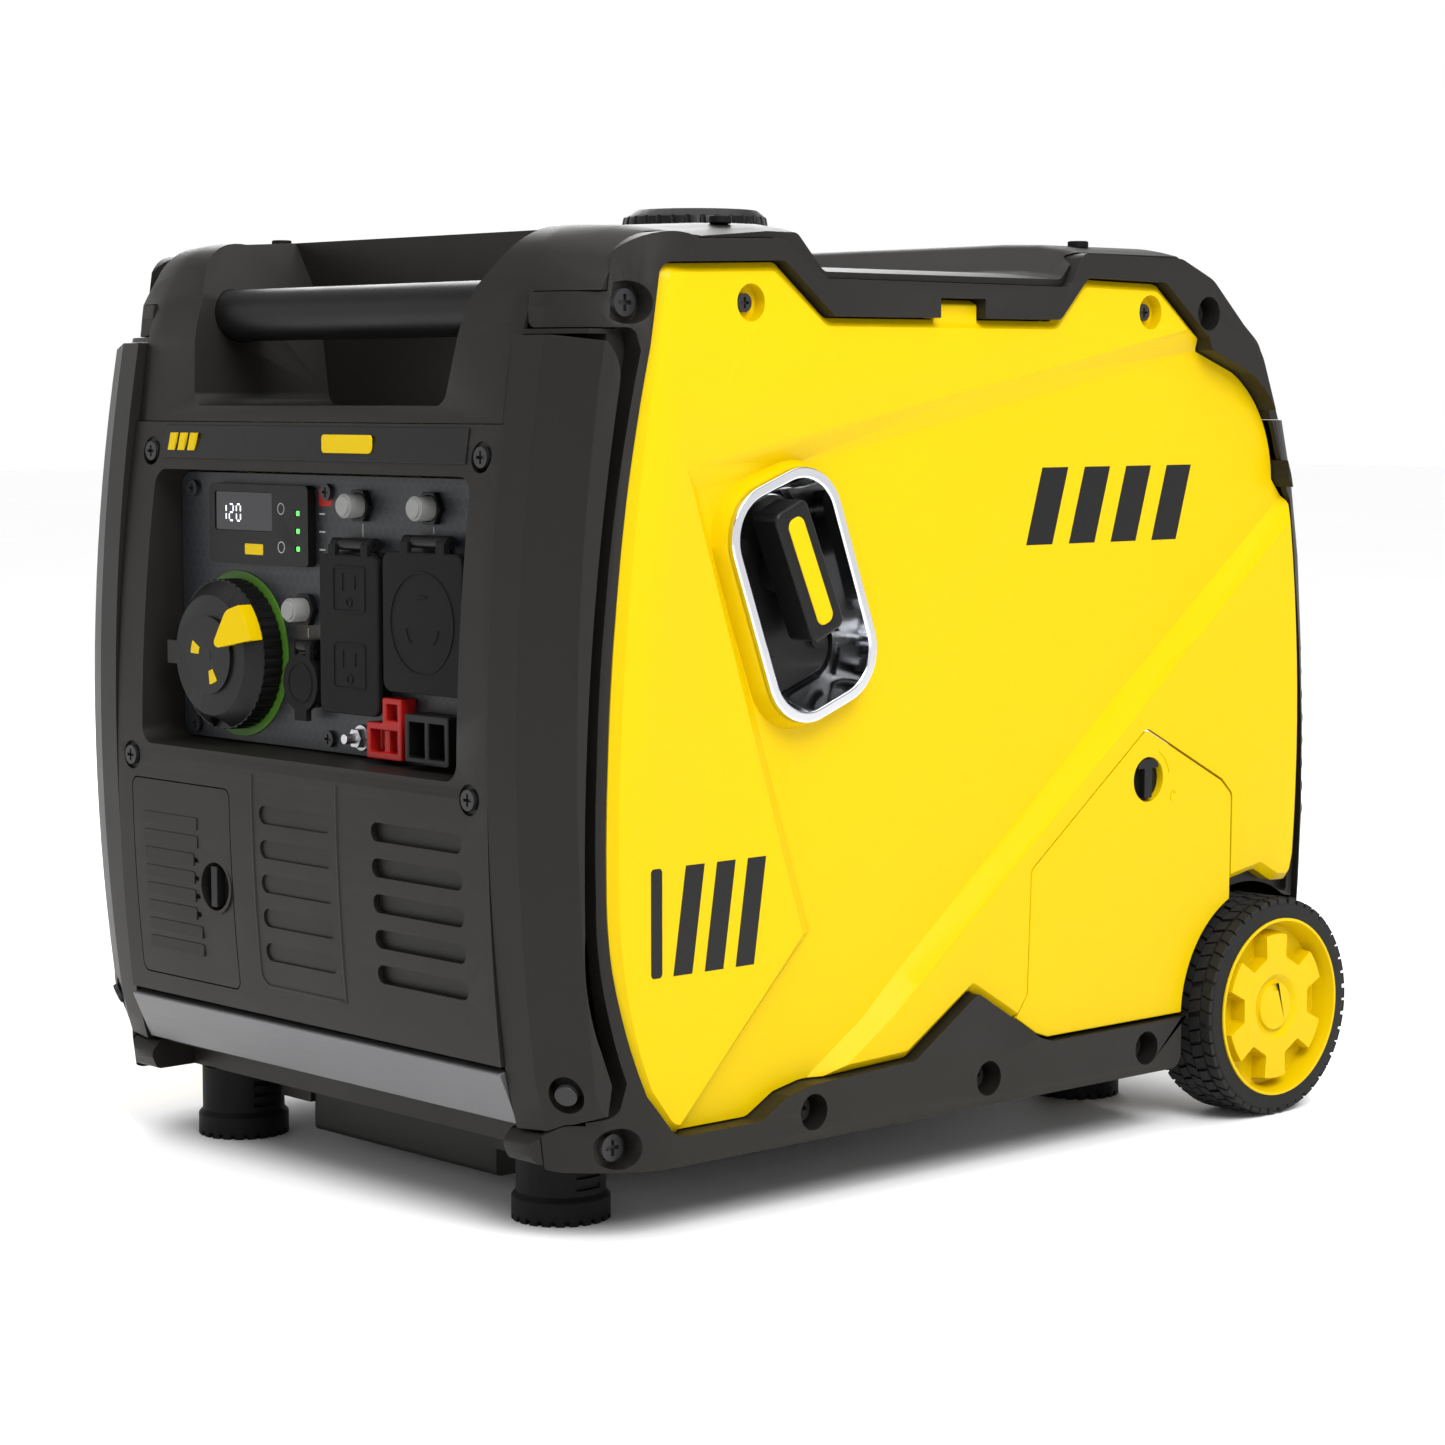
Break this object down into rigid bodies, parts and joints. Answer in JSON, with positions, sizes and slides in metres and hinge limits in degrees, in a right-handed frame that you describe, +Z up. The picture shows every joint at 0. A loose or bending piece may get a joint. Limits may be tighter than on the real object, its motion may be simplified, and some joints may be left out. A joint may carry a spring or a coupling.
{
  "type": "portable inverter generator",
  "caption": "Boxy enclosed portable generator with bright side panels, framed corner posts, a recessed carry bar, a socketed control panel, rear wheels and a pull starter.",
  "frame": {"origin": "on the floor under the middle of the bounding box", "axes": "+X towards the pull-starter side, -Y towards the control panel, +Z up"},
  "size_m": [0.44, 0.5739, 0.499],
  "materials": {
    "yellow_plastic": "satin gloss moulded panel",
    "charcoal_plastic": "fine-textured warm charcoal moulding",
    "black_plastic": "fine-textured black moulding",
    "black_rubber": "matt moulded rubber",
    "tyre_rubber": "solid tread rubber",
    "boot_grey": "translucent grey silicone boot",
    "chrome_bezel": "bright chrome-plated plastic",
    "dark_screw": "black-coated steel",
    "steel": "zinc-plated steel",
    "strip_grey": "metallic grey paint",
    "panel_label": "slate hexagon-pattern label",
    "label_black": "smooth black label",
    "display_glass": "dark clear window",
    "green_ring": "satin green ring",
    "red_plastic": "satin red moulding",
    "cast_aluminium": "sand-cast alloy",
    "exhaust_steel": "heat-dulled steel",
    "rope_fibre": "braided polyester"
  },
  "bodies": {
    "case": {"accent_strip": "strip_grey", "axle": "steel", "base_tray": "charcoal_plastic", "breaker_collars": "black_plastic", "carry_bar": "black_plastic", "case_screws": "dark_screw", "connector_black": "black_plastic", "connector_red": "red_plastic", "control_panel": "panel_label", "corner_post_left": "charcoal_plastic", "corner_post_right": "charcoal_plastic", "dc_socket": "black_plastic", "display_module": "black_plastic", "display_window": "display_glass", "duplex_receptacle": "black_plastic", "engine_block": "cast_aluminium", "front_bumper": "charcoal_plastic", "front_cover": "charcoal_plastic", "fuel_tank": "black_plastic", "ground_terminal": "steel", "inverter_module": "cast_aluminium", "label_strip": "label_black", "locking_receptacle": "black_plastic", "muffler": "exhaust_steel", "rear_cover": "charcoal_plastic", "recoil_bezel": "chrome_bezel", "recoil_housing": "cast_aluminium", "recoil_plate": "black_plastic", "rubber_feet": "black_rubber", "side_frame_left": "charcoal_plastic", "side_frame_right": "charcoal_plastic", "side_panel_left": "yellow_plastic", "side_panel_right": "yellow_plastic", "start_dial_ring": "green_ring", "starter_battery": "black_plastic", "top_shell": "charcoal_plastic", "tow_handle_runner": "charcoal_plastic"},
    "wheel_right": {"wheel_rim_right": "yellow_plastic", "wheel_tyre_right": "tyre_rubber"},
    "wheel_left": {"wheel_rim_left": "yellow_plastic", "wheel_tyre_left": "tyre_rubber"},
    "fuel_cap": {"fuel_cap": "black_plastic"},
    "start_dial": {"start_dial": "black_plastic", "start_dial_pointer": "yellow_plastic"},
    "breaker_1": {"breaker_button_1": "boot_grey"},
    "breaker_2": {"breaker_button_2": "boot_grey"},
    "breaker_3": {"breaker_button_3": "boot_grey"},
    "duplex_lid": {"duplex_cover": "black_rubber"},
    "locking_lid": {"locking_cover": "black_rubber"},
    "dc_lid": {"dc_cover": "black_rubber"},
    "service_door": {"service_door": "charcoal_plastic"},
    "service_knob": {"service_knob": "black_plastic"},
    "oil_door": {"oil_door": "yellow_plastic"},
    "oil_latch": {"oil_door_latch": "black_plastic"},
    "recoil_grip": {"recoil_grip": "black_plastic", "recoil_grip_insert": "yellow_plastic", "recoil_rope": "rope_fibre"},
    "recoil_reel": {"recoil_reel": "steel"},
    "tow_handle": {"tow_handle": "charcoal_plastic"},
    "crank_rotor": {"crank_rotor": "steel"}
  },
  "joints": [
    {"name": "wheel_spin_right", "type": "hinge", "parent": "case", "child": "wheel_right", "pos_m": [0.198, 0.2266, 0.061], "axis": [1, 0, 0], "continuous": true},
    {"name": "wheel_spin_left", "type": "hinge", "parent": "case", "child": "wheel_left", "pos_m": [-0.198, 0.2266, 0.061], "axis": [1, 0, 0], "continuous": true},
    {"name": "fuel_cap_turn", "type": "hinge", "parent": "case", "child": "fuel_cap", "pos_m": [0, -0.013, 0.485], "axis": [0, 0, 1], "range_deg": [0, 180]},
    {"name": "start_dial_turn", "type": "hinge", "parent": "case", "child": "start_dial", "pos_m": [-0.078, -0.262, 0.266], "axis": [0, -1, 0], "range_deg": [-135, 0]},
    {"name": "breaker_press_1", "type": "slide", "parent": "case", "child": "breaker_1", "axis": [0, 1, 0], "range_m": [0, 0.003], "stiffness_N_per_m": 600},
    {"name": "breaker_press_2", "type": "slide", "parent": "case", "child": "breaker_2", "axis": [0, 1, 0], "range_m": [0, 0.003], "stiffness_N_per_m": 600},
    {"name": "breaker_press_3", "type": "slide", "parent": "case", "child": "breaker_3", "axis": [0, 1, 0], "range_m": [0, 0.003], "stiffness_N_per_m": 600},
    {"name": "duplex_lid_hinge", "type": "hinge", "parent": "case", "child": "duplex_lid", "pos_m": [0.03, -0.2665, 0.326], "axis": [-1, 0, 0], "range_deg": [0, 110]},
    {"name": "locking_lid_hinge", "type": "hinge", "parent": "case", "child": "locking_lid", "pos_m": [0.0895, -0.2665, 0.329], "axis": [-1, 0, 0], "range_deg": [0, 110]},
    {"name": "dc_lid_hinge", "type": "hinge", "parent": "case", "child": "dc_lid", "pos_m": [-0.0125, -0.2665, 0.2735], "axis": [-1, 0, 0], "range_deg": [0, 110]},
    {"name": "service_door_lift", "type": "slide", "parent": "case", "child": "service_door", "axis": [0, -1, 0], "range_m": [0, 0.06]},
    {"name": "service_knob_turn", "type": "hinge", "parent": "service_door", "child": "service_knob", "pos_m": [-0.0695, -0.276, 0.147], "axis": [0, -1, 0], "range_deg": [0, 90]},
    {"name": "oil_door_lift", "type": "slide", "parent": "case", "child": "oil_door", "axis": [1, 0, 0], "range_m": [0, 0.06]},
    {"name": "oil_latch_turn", "type": "hinge", "parent": "oil_door", "child": "oil_latch", "pos_m": [0.2, 0.13, 0.194], "axis": [1, 0, 0], "range_deg": [0, 90]},
    {"name": "recoil_grip_pull", "type": "slide", "parent": "case", "child": "recoil_grip", "axis": [1, 0, 0], "range_m": [0, 0.3], "stiffness_N_per_m": 30},
    {"name": "recoil_reel_spin", "type": "hinge", "parent": "case", "child": "recoil_reel", "pos_m": [0.163, 0, 0.15], "axis": [1, 0, 0], "range_deg": [0, 460]},
    {"name": "tow_handle_slide", "type": "slide", "parent": "case", "child": "tow_handle", "axis": [0, -1, 0], "range_m": [0, 0.28]},
    {"name": "crank_spin", "type": "hinge", "parent": "case", "child": "crank_rotor", "pos_m": [0, 0, 0.15], "axis": [1, 0, 0], "continuous": true}
  ],
  "couplings": [
    {"joint": "recoil_reel_spin", "follows": "recoil_grip_pull", "rad_per_m": 26.3}
  ]
}
